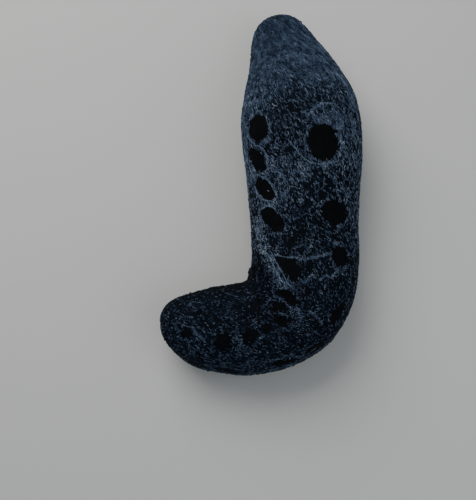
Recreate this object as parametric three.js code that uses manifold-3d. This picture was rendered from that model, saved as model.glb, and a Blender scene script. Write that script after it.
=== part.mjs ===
// A black sea cucumber, life size, resting on its tube feet with its body bent into an L.
// The midline is a curve in plan from the head tip to the tail tip. A place on the body is given by
// s, the distance along the midline, and by the angle round it: 0 on top of the back, positive
// towards the inside of the bend, 180 under the sole. Millimetres and degrees, +Z up.
import * as THREE from "three";
import { mergeVertices } from "three/addons/utils/BufferGeometryUtils.js";
import Module from "manifold-3d";

const wasm = await Module();
wasm.setup();
const { Manifold, Mesh: SolidMesh } = wasm;
const { degToRad, radToDeg, clamp, smoothstep } = THREE.MathUtils;

// The midline in plan: the head tip's place, its heading from +X, and the turns along the way.
const BODY_LENGTH = 233;
const HEAD_TIP = [-50.2, -65.5];
const HEAD_HEADING = -29;
const TURNS = [
  { from: 0, to: 37, degrees: 27, ramp: 0.5 },
  { from: 31, to: 99, degrees: 92, ramp: 0.25 },
  { from: 126, to: 226, degrees: 14, ramp: 0.5 },
];

// Half the body's width along the midline, without the rounding of the two ends.
const HALF_WIDTHS = [
  [0, 18],
  [12, 19.6],
  [24, 21.2],
  [38, 22.8],
  [52, 24.2],
  [68, 27.3],
  [86, 27.3],
  [104, 27.4],
  [124, 28.8],
  [144, 30.7],
  [158, 31.5],
  [174, 30.6],
  [188, 27],
  [202, 22.5],
  [214, 18.8],
  [233, 16.8],
];
const HEAD_CAP = { length: 27, power: 1.95 };
const TAIL_CAP = { length: 24, power: 2.3 };

// The section: how far the back rises above the midline and the sole lies below it, as shares of
// half the width, and how square each is (2 is an ellipse). The two ends lift off the floor.
const BACK = { share: 0.82, power: 2.1 };
const SOLE = { share: 0.68, power: 3 };
const SOLE_LEVEL = 1.8;
const HEAD_LIFT = { height: 6, span: 30 };
const TAIL_LIFT = { height: 1, span: 34 };
const SWELL = { height: 0.5, wavelength: 37 };

// The body is cut across into lengths, each face to face with the next.
const LENGTHS = [
  { name: "head_end", to: 28 },
  { name: "front_bend", to: 50 },
  { name: "middle_bend", to: 66 },
  { name: "rear_bend", to: 84 },
  { name: "middle_length", to: 144 },
  { name: "rear_length", to: 200 },
  { name: "tail_end", to: BODY_LENGTH },
];
const GAP = 0.3;

// The sand coat stands this far above the bare skin, and the two rows of round spots are bare: each
// spot is [s, angle, half its length, half its breadth, how much it leans to the inside per length].
const COAT_DEPTH = 0.8;
const INNER_SPOTS = [
  [16.2, -24, 3.1, 3.4, 0],
  [32.7, -28, 4.3, 5.2, 0],
  [43.5, -23, 3.6, 4.3, 0.2],
  [58, -12.5, 3.2, 3.3, 0],
  [60.5, 1, 4.8, 2.2, -0.3],
  [66.3, 5, 2.4, 5.4, 0],
  [81.5, 20.5, 7.6, 5, 0.62],
  [108.5, 44, 6.8, 5, 0.5],
  [124, 52, 6.7, 4.9, 0.6],
  [140, 60, 7.2, 4.8, 0.5],
  [156.4, 54, 8.2, 6.5, 0.15],
];
const OUTER_SPOTS = [
  [23, -80, 3.6, 3, 0],
  [34, -80, 6, 3, 0],
  [53, -68, 3.6, 3.2, 0],
  [62, -72, 3.3, 3.4, 0],
  [74, -58, 4.2, 3, 0],
  [91, -40, 5.2, 4.1, 0],
  [111.3, -33.5, 5.9, 6.7, 0],
  [145, -19, 9.2, 7.6, 0],
];

// Soft points scattered over the back.
const PAPILLA = {
  height: 1,
  baseRadius: 1.5,
  tipRadius: 0.5,
  sunk: 0.8,
  sides: 5,
  endMargin: 6,
};
const PAPILLA_SPACING = 14;
const PAPILLA_TRIES = 500;
const PAPILLA_REACH = 98;

// Tube feet in rows along the sole, each a stalk that flares to a sucker flat on the floor. The rows
// are placed for one half width of the body, and move in where it is narrower.
const FOOT = {
  suckerRadius: 1.4,
  neckHeight: 1,
  neckRadius: 0.8,
  rootRadius: 0.95,
  sunk: 1.3,
  sides: 5,
};
const FOOT_ROWS = [-17, -10.5, -3.5, 3.5, 10.5, 17];
const FOOT_ROWS_FIT = 28;
const FOOT_PITCH = 11;
const FEET_FROM = 32;
const FEET_TO = 219;

// The mouth looks down and a little forward from under the head, in a ring of tentacles.
const MOUTH = {
  s: 14,
  tilt: 14,
  depth: 4.5,
  recessRadius: 9.6,
  flareRadius: 13.5,
  flareDrop: 12,
};
const ORAL_DISC = { radius: 9.3, thickness: 2.6, openingRadius: 2.4, openingDepth: 1.6 };
const TENTACLES = 20;
const TENTACLE = {
  lobeRadius: 2.2,
  notchRadius: 1.5,
  neckHeight: 1.2,
  neckRadius: 0.75,
  rootRadius: 0.85,
  sunk: 0.8,
  lobes: 5,
};
const TENTACLE_RING = 7.4;
const TENTACLE_REACHES = [6.6, 10.4];

const VENT = { lobeRadius: 2.8, notchRadius: 1.5, depth: 4, proud: 0.2, lobes: 5 };

// The share of a turn made at t from 0 to 1, with the curvature ramping up and down at its ends.
function turned(t, ramp) {
  const x = clamp(t, 0, 1);
  const whole = 1 - ramp;
  if (x < ramp) return (x * x) / (2 * ramp * whole);
  if (x > whole) return 1 - (1 - x) ** 2 / (2 * ramp * whole);
  return (x - ramp / 2) / whole;
}

function headingAt(s) {
  let degrees = HEAD_HEADING;
  for (const turn of TURNS) {
    degrees += turn.degrees * turned((s - turn.from) / (turn.to - turn.from), turn.ramp);
  }
  return degToRad(degrees);
}

const forwardAt = (s) => new THREE.Vector3(Math.cos(headingAt(s)), Math.sin(headingAt(s)), 0);

// The midline's plan, added up in short straight steps.
const STEP = 0.5;
const plan = [new THREE.Vector3(...HEAD_TIP, 0)];
for (let i = 0; i * STEP < BODY_LENGTH; i += 1) {
  plan.push(plan[i].clone().addScaledVector(forwardAt((i + 0.5) * STEP), STEP));
}

function planAt(s) {
  const place = clamp(s / STEP, 0, plan.length - 1.001);
  const i = Math.floor(place);
  return plan[i].clone().lerp(plan[i + 1], place - i);
}

// Half the width at s: a smooth curve through the stations, each slope set by its two neighbours.
function halfWidthAt(s) {
  const last = HALF_WIDTHS.length - 1;
  const slope = (i) => {
    const [s0, w0] = HALF_WIDTHS[Math.max(i - 1, 0)];
    const [s1, w1] = HALF_WIDTHS[Math.min(i + 1, last)];
    return (w1 - w0) / (s1 - s0);
  };
  let i = 0;
  while (i < last - 1 && s > HALF_WIDTHS[i + 1][0]) i += 1;
  const [s0, w0] = HALF_WIDTHS[i];
  const [s1, w1] = HALF_WIDTHS[i + 1];
  const span = s1 - s0;
  const t = clamp((s - s0) / span, 0, 1);
  const blend = t * t * (3 - 2 * t);
  const leaving = slope(i) * span * t * (1 - t) ** 2;
  const arriving = slope(i + 1) * span * t * t * (t - 1);
  return w0 * (1 - blend) + w1 * blend + leaving + arriving;
}

// The share of the full width left at a distance from a rounded end.
function capShare(distance, cap) {
  const t = clamp(1 - distance / cap.length, 0, 1);
  return (1 - t ** cap.power) ** (1 / cap.power);
}

function liftAt(s) {
  const head = HEAD_LIFT.height * (1 - smoothstep(s / HEAD_LIFT.span, 0, 1));
  const tail = TAIL_LIFT.height * (1 - smoothstep((BODY_LENGTH - s) / TAIL_LIFT.span, 0, 1));
  return head + tail;
}

// The point of the skin at s and an angle, moved in towards the midline by the inset.
function bodyPoint(s, degrees, inset = 0) {
  const angle = degToRad(degrees);
  const [up, side] = [Math.cos(angle), Math.sin(angle)];
  const { share, power } = up > 0 ? BACK : SOLE;
  const unit = (Math.abs(side) ** power + Math.abs(up / share) ** power) ** (-1 / power);
  const full = halfWidthAt(s);
  const rounding = capShare(s, HEAD_CAP) * capShare(BODY_LENGTH - s, TAIL_CAP);
  const wave = Math.sin((2 * Math.PI * s) / SWELL.wavelength + 1.5 * side);
  const swell = SWELL.height * rounding * Math.max(up, 0) * wave;
  const radius = Math.max(full * rounding * unit + swell - inset, 0);
  const heading = headingAt(s);
  const leftward = new THREE.Vector3(-Math.sin(heading), Math.cos(heading), 0);
  const point = planAt(s).addScaledVector(leftward, radius * side);
  point.z = SOLE_LEVEL + liftAt(s) + SOLE.share * full + radius * up;
  return point;
}

function bodyNormal(s, degrees) {
  const along = bodyPoint(s + 0.5, degrees).sub(bodyPoint(s - 0.5, degrees));
  const round = bodyPoint(s, degrees + 1).sub(bodyPoint(s, degrees - 1));
  return along.cross(round).normalize();
}

// A closed solid through rings with equal numbers of points, each ring going counterclockwise
// about the way the rings are stacked, and closed by a centre point at each end.
function stack(first, rings, last) {
  const sides = rings[0].length;
  const points = [first, ...rings.flat(), last];
  const at = (ring, j) => 1 + ring * sides + (j % sides);
  const faces = [];
  for (let j = 0; j < sides; j += 1) {
    faces.push(0, at(0, j + 1), at(0, j));
    for (let ring = 0; ring + 1 < rings.length; ring += 1) {
      const [a, b] = [at(ring, j), at(ring, j + 1)];
      const [c, d] = [at(ring + 1, j + 1), at(ring + 1, j)];
      faces.push(a, b, c, a, c, d);
    }
    faces.push(points.length - 1, at(rings.length - 1, j), at(rings.length - 1, j + 1));
  }
  const geometry = new THREE.BufferGeometry().setFromPoints(points);
  geometry.setIndex(faces);
  return solidOf(geometry);
}

function solidOf(geometry) {
  const bare = new THREE.BufferGeometry();
  bare.setAttribute("position", geometry.getAttribute("position"));
  bare.setIndex(geometry.getIndex());
  const merged = mergeVertices(bare, 1e-4);
  const vertProperties = new Float32Array(merged.getAttribute("position").array);
  const triVerts = new Uint32Array(merged.getIndex().array);
  return new Manifold(new SolidMesh({ numProp: 3, vertProperties, triVerts }));
}

function geometryOf(solid) {
  const { vertProperties, triVerts } = solid.getMesh();
  const geometry = new THREE.BufferGeometry();
  geometry.setAttribute("position", new THREE.BufferAttribute(vertProperties, 3));
  geometry.setIndex(new THREE.BufferAttribute(triVerts, 1));
  geometry.computeVertexNormals();
  return geometry;
}

const largest = (solid) => solid.decompose().sort((a, b) => b.volume() - a.volume())[0];

// A ring of points about a centre, counterclockwise about its axis; a list of radii makes lobes.
function ringAbout(centre, axis, radii, sides, spin = 0) {
  const hint = Math.abs(axis.z) > 0.9 ? new THREE.Vector3(1, 0, 0) : new THREE.Vector3(0, 0, 1);
  const across = hint.addScaledVector(axis, -hint.dot(axis)).normalize();
  const third = axis.clone().cross(across);
  return Array.from({ length: sides }, (_, j) => {
    const turn = spin + (2 * Math.PI * j) / sides;
    const radius = radii[j % radii.length];
    return centre
      .clone()
      .addScaledVector(across, radius * Math.cos(turn))
      .addScaledVector(third, radius * Math.sin(turn));
  });
}

// Random numbers from 0 to 1 that come out the same on every run.
function seeded(seed) {
  let state = seed;
  return () => {
    state = (state * 16807) % 2147483647;
    return state / 2147483647;
  };
}

// The whole body: rings of points round the midline, closer together at the two ends.
const CAP_RINGS = 7;
const CAP_SPAN = 24;
const RING_ZONES = [
  [CAP_SPAN, 34, 3],
  [34, 98, 21],
  [98, BODY_LENGTH - CAP_SPAN, 25],
];
const SECTORS = 30;

function ringPlaces() {
  const eased = (i) => CAP_SPAN * (1 - Math.cos(((i / CAP_RINGS) * Math.PI) / 2));
  const places = [];
  for (let i = 1; i < CAP_RINGS; i += 1) places.push(eased(i));
  for (const [from, to, count] of RING_ZONES) {
    for (let i = 0; i < count; i += 1) places.push(from + ((to - from) * i) / count);
  }
  for (let i = CAP_RINGS; i > 0; i -= 1) places.push(BODY_LENGTH - eased(i));
  return places;
}

const sectors = Array.from({ length: SECTORS }, (_, j) => (-360 * j) / SECTORS);
const rings = ringPlaces().map((s) => sectors.map((degrees) => bodyPoint(s, degrees)));
let body = stack(bodyPoint(0, 0), rings, bodyPoint(BODY_LENGTH, 0));

// A bare spot: a plate that follows the skin, one coat's depth down.
const SPOT_SIDES = 10;

function spotPit([s, degrees, halfLength, halfBreadth, lean]) {
  const thickness = bodyPoint(s, degrees).distanceTo(bodyPoint(s, degrees + 180));
  const perDegree = degToRad(thickness / 2);
  const outline = (share, inset) =>
    Array.from({ length: SPOT_SIDES }, (_, j) => {
      const turn = (2 * Math.PI * j) / SPOT_SIDES;
      const along = share * halfLength * Math.cos(turn);
      const round = (share * halfBreadth * Math.sin(turn) + lean * along) / perDegree;
      return bodyPoint(s + along, degrees + round, inset);
    });
  const shell = [outline(0.5, COAT_DEPTH), outline(1, COAT_DEPTH), outline(1, -1), outline(0.5, -1)];
  return stack(bodyPoint(s, degrees, COAT_DEPTH), shell, bodyPoint(s, degrees, -1));
}

const SPOTS = [...INNER_SPOTS, ...OUTER_SPOTS];
body = body.subtract(Manifold.union(SPOTS.map(spotPit)));

// The mouth's recess under the head, and the vent's pucker at the tip of the tail.
const mouthCentre = bodyPoint(MOUTH.s, 180);
const mouthTilt = degToRad(MOUTH.tilt);
const mouthAxis = new THREE.Vector3(0, 0, -Math.cos(mouthTilt));
mouthAxis.addScaledVector(forwardAt(MOUTH.s), -Math.sin(mouthTilt));
const mouthAt = (drop) => mouthCentre.clone().addScaledVector(mouthAxis, drop);
const mouthRing = (drop, radii, sides) => ringAbout(mouthAt(drop), mouthAxis, radii, sides);
const MOUTH_SIDES = 20;

const discBack = GAP - MOUTH.depth;
const discFace = discBack + ORAL_DISC.thickness;
const recess = stack(
  mouthAt(-MOUTH.depth),
  [
    mouthRing(-MOUTH.depth, [MOUTH.recessRadius], MOUTH_SIDES),
    mouthRing(discFace, [MOUTH.recessRadius], MOUTH_SIDES),
    mouthRing(MOUTH.flareDrop, [MOUTH.flareRadius], MOUTH_SIDES),
  ],
  mouthAt(MOUTH.flareDrop),
);

const tailAxis = forwardAt(BODY_LENGTH);
const tailTip = bodyPoint(BODY_LENGTH, 0);
const ventRing = ringAbout(
  tailTip.clone().addScaledVector(tailAxis, VENT.proud),
  tailAxis,
  [VENT.lobeRadius, VENT.notchRadius],
  2 * VENT.lobes,
);
const vent = stack(
  tailTip.clone().addScaledVector(tailAxis, -VENT.depth),
  [ventRing],
  tailTip.clone().addScaledVector(tailAxis, 1),
);
body = body.subtract(recess).subtract(vent);

// A thin slab across the body at each cut, so that two neighbours end in parallel faces.
const SLAB_SIDE = 72;

function slabAt(s) {
  const geometry = new THREE.BoxGeometry(GAP, SLAB_SIDE, SLAB_SIDE);
  geometry.rotateZ(headingAt(s));
  const centre = planAt(s);
  geometry.translate(centre.x, centre.y, SLAB_SIDE / 3);
  return solidOf(geometry);
}

const cuts = LENGTHS.slice(0, -1).map((length) => length.to);
body = body.subtract(Manifold.union(cuts.map(slabAt)));

function nearestPlace(solid) {
  const { min, max } = solid.boundingBox();
  const centre = new THREE.Vector3((min[0] + max[0]) / 2, (min[1] + max[1]) / 2, 0);
  const distances = plan.map((point) => point.distanceTo(centre));
  return STEP * distances.indexOf(Math.min(...distances));
}

const pieces = body.decompose().sort((a, b) => nearestPlace(a) - nearestPlace(b));

// Feet and papillae join the length they grow from.
const lengthOf = (s) => LENGTHS.findIndex((length) => s < length.to);
const clearOfCuts = (s, margin) => cuts.every((cut) => Math.abs(s - cut) > margin);
const ROOM_AT_CUTS = 2;
const growths = LENGTHS.map(() => []);
const UP = new THREE.Vector3(0, 0, 1);

// A stalk standing on the floor, its root sunk into the body above.
function stalk(foot, root, floorRadii, neckHeight, neckRadius, rootRadius, sides, spin) {
  const share = neckHeight / root.z;
  const neck = foot.clone().lerp(root, share);
  const stages = [
    ringAbout(foot, UP, floorRadii, sides, spin),
    ringAbout(neck, UP, [neckRadius], sides, spin),
    ringAbout(root, UP, [rootRadius], sides, spin),
  ];
  return stack(foot, stages, root);
}

function addFoot(s, offset, spin) {
  const full = halfWidthAt(s);
  const reach = (offset * full) / FOOT_ROWS_FIT;
  const degrees = 180 - radToDeg(Math.atan2(reach, SOLE.share * full));
  const root = bodyPoint(s, degrees);
  const foot = root.clone().setZ(0);
  root.z += FOOT.sunk;
  const { suckerRadius, neckHeight, neckRadius, rootRadius, sides } = FOOT;
  const shape = stalk(foot, root, [suckerRadius], neckHeight, neckRadius, rootRadius, sides, spin);
  growths[lengthOf(s)].push(shape);
}

const footChance = seeded(5);
const jitter = (most) => most * (2 * footChance() - 1);
for (const [row, offset] of FOOT_ROWS.entries()) {
  const shift = row % 2 ? FOOT_PITCH / 2 : 0;
  for (let s = FEET_FROM + shift; s < FEET_TO; s += FOOT_PITCH) {
    const place = s + jitter(1.5);
    const spin = jitter(1);
    if (clearOfCuts(place, ROOM_AT_CUTS)) addFoot(place, offset + jitter(1), spin);
  }
}

const SPOT_MARGIN = 2;

function inSpot(s, degrees) {
  return SPOTS.some(([s0, degrees0, halfLength, halfBreadth, lean]) => {
    const along = s - s0;
    const round = degToRad(degrees - degrees0) * halfWidthAt(s) - lean * along;
    const shares = [along / (halfLength + SPOT_MARGIN), round / (halfBreadth + SPOT_MARGIN)];
    return Math.hypot(...shares) < 1;
  });
}

const papillaChance = seeded(11);
const papillae = [];
for (let i = 0; i < PAPILLA_TRIES; i += 1) {
  const s = PAPILLA.endMargin + (BODY_LENGTH - 2 * PAPILLA.endMargin) * papillaChance();
  const degrees = PAPILLA_REACH * (2 * papillaChance() - 1);
  const size = 0.8 + 0.4 * papillaChance();
  const root = bodyPoint(s, degrees);
  const crowded = papillae.some((other) => other.distanceTo(root) < PAPILLA_SPACING);
  if (crowded || inSpot(s, degrees) || !clearOfCuts(s, ROOM_AT_CUTS)) continue;
  papillae.push(root);
  const normal = bodyNormal(s, degrees);
  const low = root.clone().addScaledVector(normal, -PAPILLA.sunk);
  const high = root.clone().addScaledVector(normal, PAPILLA.height * size);
  const stages = [
    ringAbout(low, normal, [PAPILLA.baseRadius * size], PAPILLA.sides, i),
    ringAbout(high, normal, [PAPILLA.tipRadius], PAPILLA.sides, i),
  ];
  growths[lengthOf(s)].push(stack(low, stages, high));
}

// The mouth: an oral disc with a puckered opening, and shield-shaped tentacles round it.
const disc = stack(
  mouthAt(discBack),
  [
    mouthRing(discBack, [ORAL_DISC.radius], MOUTH_SIDES),
    mouthRing(discFace, [ORAL_DISC.radius], MOUTH_SIDES),
    mouthRing(discFace, [ORAL_DISC.openingRadius, ORAL_DISC.openingRadius * 0.6], MOUTH_SIDES),
  ],
  mouthAt(discFace - ORAL_DISC.openingDepth),
);

const mouthOnFloor = mouthAt(-mouthCentre.z / mouthAxis.z).setZ(0);

function tentacle(index) {
  const turn = (2 * Math.PI * index) / TENTACLES;
  const spoke = ringAbout(new THREE.Vector3(), mouthAxis, [1], 1, turn)[0];
  const root = mouthAt(discFace - TENTACLE.sunk).addScaledVector(spoke, TENTACLE_RING);
  const level = spoke.setZ(0).normalize();
  const foot = mouthOnFloor.clone().addScaledVector(level, TENTACLE_REACHES[index % 2]);
  const { lobeRadius, notchRadius, neckHeight, neckRadius, rootRadius, lobes } = TENTACLE;
  const shield = [lobeRadius, notchRadius];
  return stalk(foot, root, shield, neckHeight, neckRadius, rootRadius, 2 * lobes, turn);
}

const tentacles = Array.from({ length: TENTACLES }, (_, index) => tentacle(index));

const sandedSkin = new THREE.MeshStandardMaterial({ color: 0x252b33, roughness: 0.85, metalness: 0 });
const bareSkin = new THREE.MeshStandardMaterial({ color: 0x0d0e10, roughness: 0.6, metalness: 0 });

const seaCucumber = new THREE.Group();

function addNode(name, solid, material) {
  const mesh = new THREE.Mesh(geometryOf(largest(solid)), material);
  mesh.name = name;
  seaCucumber.add(mesh);
}

LENGTHS.forEach((length, i) => {
  addNode(length.name, Manifold.union([pieces[i], ...growths[i]]), sandedSkin);
});
addNode("mouth_tentacles", Manifold.union([disc, ...tentacles]), bareSkin);

export default seaCucumber;
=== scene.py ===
"""A black sea cucumber, life size, bent into an L and resting on its tube feet in a coat of sand.

A place on the body is given by s, the distance along its midline from the head's tip, and phi, the
angle round it: 0 on top of the back, positive towards the inside of the bend, 180 under the sole.
The animal is rolled over a little along its bend, so theta = phi - roll is the angle round its own
back. Sizes are in millimetres and angles in degrees, and each mesh is made in metres.
"""
import itertools
import math

import bpy
import numpy as np
from mathutils import Matrix, Vector


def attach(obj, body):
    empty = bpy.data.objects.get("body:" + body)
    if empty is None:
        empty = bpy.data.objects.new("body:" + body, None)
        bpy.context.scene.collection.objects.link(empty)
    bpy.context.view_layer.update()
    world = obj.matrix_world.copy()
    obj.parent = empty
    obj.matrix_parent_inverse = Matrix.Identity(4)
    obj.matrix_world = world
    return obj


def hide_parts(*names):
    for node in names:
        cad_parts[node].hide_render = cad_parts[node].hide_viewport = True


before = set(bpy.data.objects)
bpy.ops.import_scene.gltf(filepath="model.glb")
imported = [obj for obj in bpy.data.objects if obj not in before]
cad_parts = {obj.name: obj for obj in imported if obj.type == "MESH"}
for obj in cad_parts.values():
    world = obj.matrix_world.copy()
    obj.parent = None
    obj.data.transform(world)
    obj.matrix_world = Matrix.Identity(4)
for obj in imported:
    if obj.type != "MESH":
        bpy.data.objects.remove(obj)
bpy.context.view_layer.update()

MM = 0.001

# A length too short to divide by, and one longer than the body, to start a search for the nearest.
TINY = 1e-9
FAR = 1e3

# The midline in plan: the head tip's place, its heading from +X, and each turn as where it starts
# and ends, its degrees, and the share of it over which the curvature ramps up and down.
BODY_LENGTH = 233.0
HEAD_TIP = (-50.2, -65.5)
HEAD_HEADING = -29.0
TURNS = ((0, 37, 27, 0.5), (31, 99, 92, 0.25), (126, 226, 14, 0.5))

# Half the body's width along the midline, without the rounding of the two ends.
HALF_WIDTHS = (
    (0, 18), (12, 19.6), (24, 21.2), (38, 22.8), (52, 24.2), (68, 27.3), (86, 27.3), (104, 27.4),
    (124, 28.8), (144, 30.7), (158, 31.5), (174, 30.6), (188, 27), (202, 22.5), (214, 18.8),
    (233, 16.8),
)
HEAD_CAP = dict(length=27, power=1.95)
TAIL_CAP = dict(length=24, power=2.3)

# The section: how far the back rises and the sole lies below the midline, as shares of half the
# width, and how square each is. The two ends lift off the floor.
BACK = dict(share=0.82, power=2.1)
SOLE = dict(share=0.68, power=3.0)
SOLE_LEVEL = 1.8
HEAD_LIFT = dict(height=6, span=30)
TAIL_LIFT = dict(height=1, span=34)
SWELL = dict(height=0.5, wavelength=37, skew=1.5)
COAT_DEPTH = 0.8

# How far the animal's own back is rolled from the top, towards the inside of the bend.
ROLLS = ((0, -50), (44, -50), (66, -30), (82, -13), (108, 4), (150, 16), (230, 16))

# The two rows of bare round spots: each is s, phi, half its length, half its breadth, and how much
# it leans to the inside per length. Lobes make two of them less round.
INNER_SPOTS = (
    (16.2, -24, 3.1, 3.4, 0),
    (32.7, -28, 4.3, 5.2, 0),
    (43.5, -23, 3.6, 4.3, 0.2),
    (58, -12.5, 3.2, 3.3, 0),
    (60.5, 1, 4.8, 2.2, -0.3),
    (66.3, 5, 2.4, 5.4, 0),
    (81.5, 20.5, 7.6, 5, 0.62),
    (108.5, 44, 6.8, 5, 0.5),
    (124, 52, 6.7, 4.9, 0.6),
    (140, 60, 7.2, 4.8, 0.5),
    (156.4, 54, 8.2, 6.5, 0.15),
)
OUTER_SPOTS = (
    (23, -80, 3.6, 3, 0),
    (34, -80, 6, 3, 0),
    (53, -68, 3.6, 3.2, 0),
    (62, -72, 3.3, 3.4, 0),
    (73.2, -58, 3.4, 3.2, 0),
    (91, -39.5, 4.1, 4.6, 0),
    (111.3, -33.5, 5.9, 6.7, 0),
    (145, -19, 9.2, 7.6, 0),
)
SPOT_LOBES = ((86.8, 28.5, 2.4, 5.2, 0), (51, -15, 2, 2.4, 0))

# Pale lines, each through places given as s and phi. Most are drawn by the sand; the one along
# the foot's lower outer edge is a painted rim highlight, made of pale sand grains.
PALE_LINES_AND_RIM_HIGHLIGHT = (
    ((146, 20), (142, 14), (138, 7), (135, -2), (134, -15), (135, -29)),
    ((160, 4), (158, -4), (161, -9), (164, -20), (164, -34), (160, -45)),
    ((151, 65), (147, 57), (144, 49), (140, 47), (134, 46)),
    ((152, 85), (145, 78), (138, 74), (134, 70)),
    ((132, 60), (128, 47), (124, 41), (120, 38)),
    ((126, 66), (121, 61), (118, 51), (117, 42)),
    ((114, 59), (116, 52), (114, 42), (111, 37)),
    ((90, 42), (88, 30), (88, 16), (87, 4), (88, -2), (89, -9), (90, -19), (91, -27)),
    ((93, 55), (88, 48), (80, 39), (74, 31), (71, 21)),
    ((87, 42), (80, 33), (76, 25), (72, 16), (71, 10), (71, 4)),
    ((77, 6), (76, -3), (78, -5), (81, -9), (80, -13)),
    ((80, -18), (82, -25), (83, -32), (85, -41)),
    ((66, 21), (68, 13), (70, 10)),
    ((62, 25), (61, 17), (63, 9), (63.5, 4), (63, -4), (64, -12), (65, -20)),
    ((55, 14), (57, 17), (59, 18)),
    ((68, -28), (68, -38), (68, -50)),
    # Along the foot's lower outer edge and the elbow's outer corner: a painted rim highlight, made of
    # pale sand grains.
    (
        (22, -98), (29, -97), (36, -92), (43, -84), (49, -79),
        (53, -80), (57, -78), (60, -79), (64, -83), (68, -88),
    ),
    ((58.5, -2), (59.5, -9), (60.5, -16)),
    ((47, -60), (52, -60), (56, -68), (60, -72), (63, -72)),
    ((37, -21), (40, -27), (40, -36)),
    ((14, -17), (18, -15), (22, -24), (25, -33)),
    ((123.4, 48.6), (122, 46.2)),
)

# A broad band of streaky sand on the inside of the elbow.
ELBOW_BAND = ((106, 65), (98, 59), (90, 52), (81, 43), (74, 32), (69, 20))


# Plain sums

LEVEL_X, LEVEL_Y, UP = np.eye(3)


def smooth(t):
    """0 below 0, 1 above 1, and 3t^2 - 2t^3 between."""
    t = np.clip(t, 0, 1)
    return t * t * (3 - 2 * t)


def falling(distance, width):
    """e^(-(distance / width)^2)."""
    return np.exp(-((distance / width) ** 2))


def along_table(table, s):
    """The value at s, by straight lines between the table's (place, value) pairs."""
    places, values = np.array(table, float).T
    return np.interp(s, places, values)


def unit(vectors):
    """Each vector divided by its own length."""
    return vectors / np.maximum(np.linalg.norm(vectors, axis=-1, keepdims=True), TINY)


def dot(a, b):
    """The sum of the products of the last axis."""
    return np.sum(a * b, axis=-1)


def flattened(vectors, normal):
    """Each vector less its part along the normal."""
    return vectors - dot(vectors, normal)[..., None] * normal


def polar(across, third, angle):
    """across * cos(angle) + third * sin(angle), for angles in radians."""
    angle = np.asarray(angle)[..., None]
    return across * np.cos(angle) + third * np.sin(angle)


def turns(sides):
    """The angles of a number of sides round a full circle, in radians."""
    return 2 * np.pi * np.arange(sides) / sides


# Noise that comes out the same on every run. The shift keeps its cells' counts above 0.

NOISE_SEED = 4
CELL_SHIFT = 4096
NOISE_SLOPES = unit(np.random.default_rng(NOISE_SEED).normal(size=(256, 3)))
NOISE_GAIN = 1.6


def shuffled(counts, seed):
    """A mixed-up whole number from 0 to 255 for each triple of whole numbers."""
    x, y, z = (counts[..., i].astype(np.uint64) for i in range(3))
    mixed = x * np.uint64(73856093) + y * np.uint64(19349663) + z * np.uint64(83492791)
    mixed = (mixed + np.uint64(seed * 2654435761)) & np.uint64(0xFFFFFFFF)
    for shift, factor in ((15, 2246822519), (13, 3266489917)):
        mixed = ((mixed ^ (mixed >> np.uint64(shift))) * np.uint64(factor)) & np.uint64(0xFFFFFFFF)
    return ((mixed ^ (mixed >> np.uint64(16))) & np.uint64(255)).astype(np.int64)


def noise(place, seed):
    """Smooth noise of about -1 to 1 with cells 1 across: each whole-number corner has a random
    slope, and the slopes' heights are blended by 6t^5 - 15t^4 + 10t^3."""
    low = np.floor(place)
    inside = place - low
    fade = inside**3 * (inside * (inside * 6 - 15) + 10)
    total = np.zeros(place.shape[:-1])
    for corner in itertools.product((0, 1), repeat=3):
        step = np.array(corner)
        weight = np.prod(np.where(step == 1, fade, 1 - fade), axis=-1)
        slope = NOISE_SLOPES[shuffled((low + step + CELL_SHIFT).astype(np.int64), seed)]
        total += weight * dot(slope, inside - step)
    return total * NOISE_GAIN


def patches(place, kind):
    """The kind's most times noise with cells of the kind's size."""
    return kind["most"] * noise(place / kind["cell"], kind["seed"])


ROUND_RADIUS = 25.0
MM_PER_DEGREE = math.radians(1) * ROUND_RADIUS


def drawn_noise(s, theta, kind):
    """Noise drawn out along the body or round it, without a seam."""
    angle = np.radians(theta)
    ring = [ROUND_RADIUS * part / kind["across"] for part in (np.cos(angle), np.sin(angle))]
    return noise(np.stack(np.broadcast_arrays(s / kind["along"], *ring), -1), kind["seed"])


def grooves(s, theta, kind):
    """Grooves where drawn-out noise passes 0: (1 - narrow * |noise|)^power, where that is over 0."""
    return np.clip(1 - np.abs(drawn_noise(s, theta, kind)) * kind["narrow"], 0, 1) ** kind["power"]


# The body's smooth form


def turned(t, ramp):
    """The share of a turn made at t: its curvature ramps up over the first share of it, stays,
    and ramps down over the last."""
    x = np.clip(t, 0, 1)
    whole = 1 - ramp
    early = x * x / (2 * ramp * whole)
    late = 1 - (1 - x) ** 2 / (2 * ramp * whole)
    return np.where(x < ramp, early, np.where(x > whole, late, (x - ramp / 2) / whole))


def heading(s):
    """The midline's direction from +X at s, in radians."""
    degrees = HEAD_HEADING + np.zeros_like(s, float)
    for start, end, turn, ramp in TURNS:
        degrees = degrees + turn * turned((s - start) / (end - start), ramp)
    return np.radians(degrees)


PLAN_STEP = 0.5
plan_places = np.arange(0, BODY_LENGTH + PLAN_STEP / 2, PLAN_STEP)
step_headings = heading(plan_places[:-1] + PLAN_STEP / 2)
plan_x = HEAD_TIP[0] + PLAN_STEP * np.concatenate(([0], np.cumsum(np.cos(step_headings))))
plan_y = HEAD_TIP[1] + PLAN_STEP * np.concatenate(([0], np.cumsum(np.sin(step_headings))))


def half_width(s):
    """A Hermite curve through the stations, each slope set by its two neighbours."""
    places, widths = np.array(HALF_WIDTHS, float).T
    station = np.arange(len(places))
    before, after = np.maximum(station - 1, 0), np.minimum(station + 1, station[-1])
    slopes = (widths[after] - widths[before]) / (places[after] - places[before])
    i = np.clip(np.searchsorted(places, s) - 1, 0, len(places) - 2)
    span = places[i + 1] - places[i]
    t = np.clip((s - places[i]) / span, 0, 1)
    blend = smooth(t)
    leaving = slopes[i] * span * t * (1 - t) ** 2
    arriving = slopes[i + 1] * span * t * t * (t - 1)
    return widths[i] * (1 - blend) + widths[i + 1] * blend + leaving + arriving


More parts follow.
